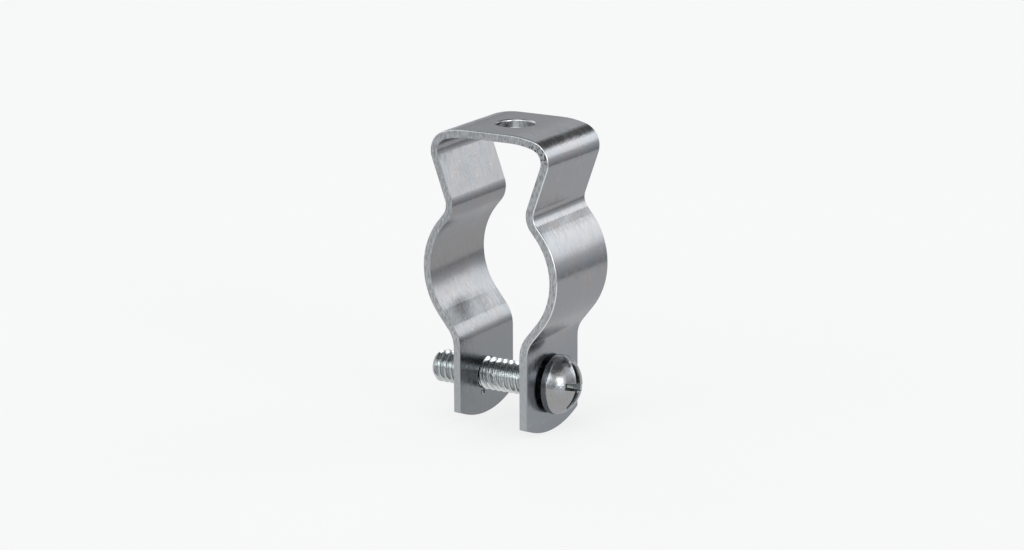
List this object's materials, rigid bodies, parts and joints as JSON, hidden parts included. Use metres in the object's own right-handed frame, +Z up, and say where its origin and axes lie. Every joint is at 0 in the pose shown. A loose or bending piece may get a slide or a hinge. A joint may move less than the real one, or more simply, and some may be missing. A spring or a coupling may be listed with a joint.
{
  "type": "conduit clamp",
  "caption": "Folded steel strap with a rod hole in its top, a round seat for a conduit and two ears drawn together by a domed screw.",
  "frame": {"origin": "where the axis of the rod hole meets the outer face of the top", "axes": "+Z up along the rod's axis, +Y along the conduit, +X towards the head of the screw"},
  "size_m": [0.0311, 0.019, 0.0573],
  "materials": {
    "strap_plate": "zinc plate, semi-bright",
    "screw_plate": "zinc plate, bright"
  },
  "bodies": {
    "strap": {"hanger_strap": "strap_plate"},
    "screw": {"clamp_screw": "screw_plate"}
  },
  "joints": [
    {"name": "screw_turn", "type": "hinge", "parent": "strap", "child": "screw", "pos_m": [0.0085, 0, -0.0484], "axis": [-1, 0, 0], "range_deg": [-2990, 178]}
  ]
}
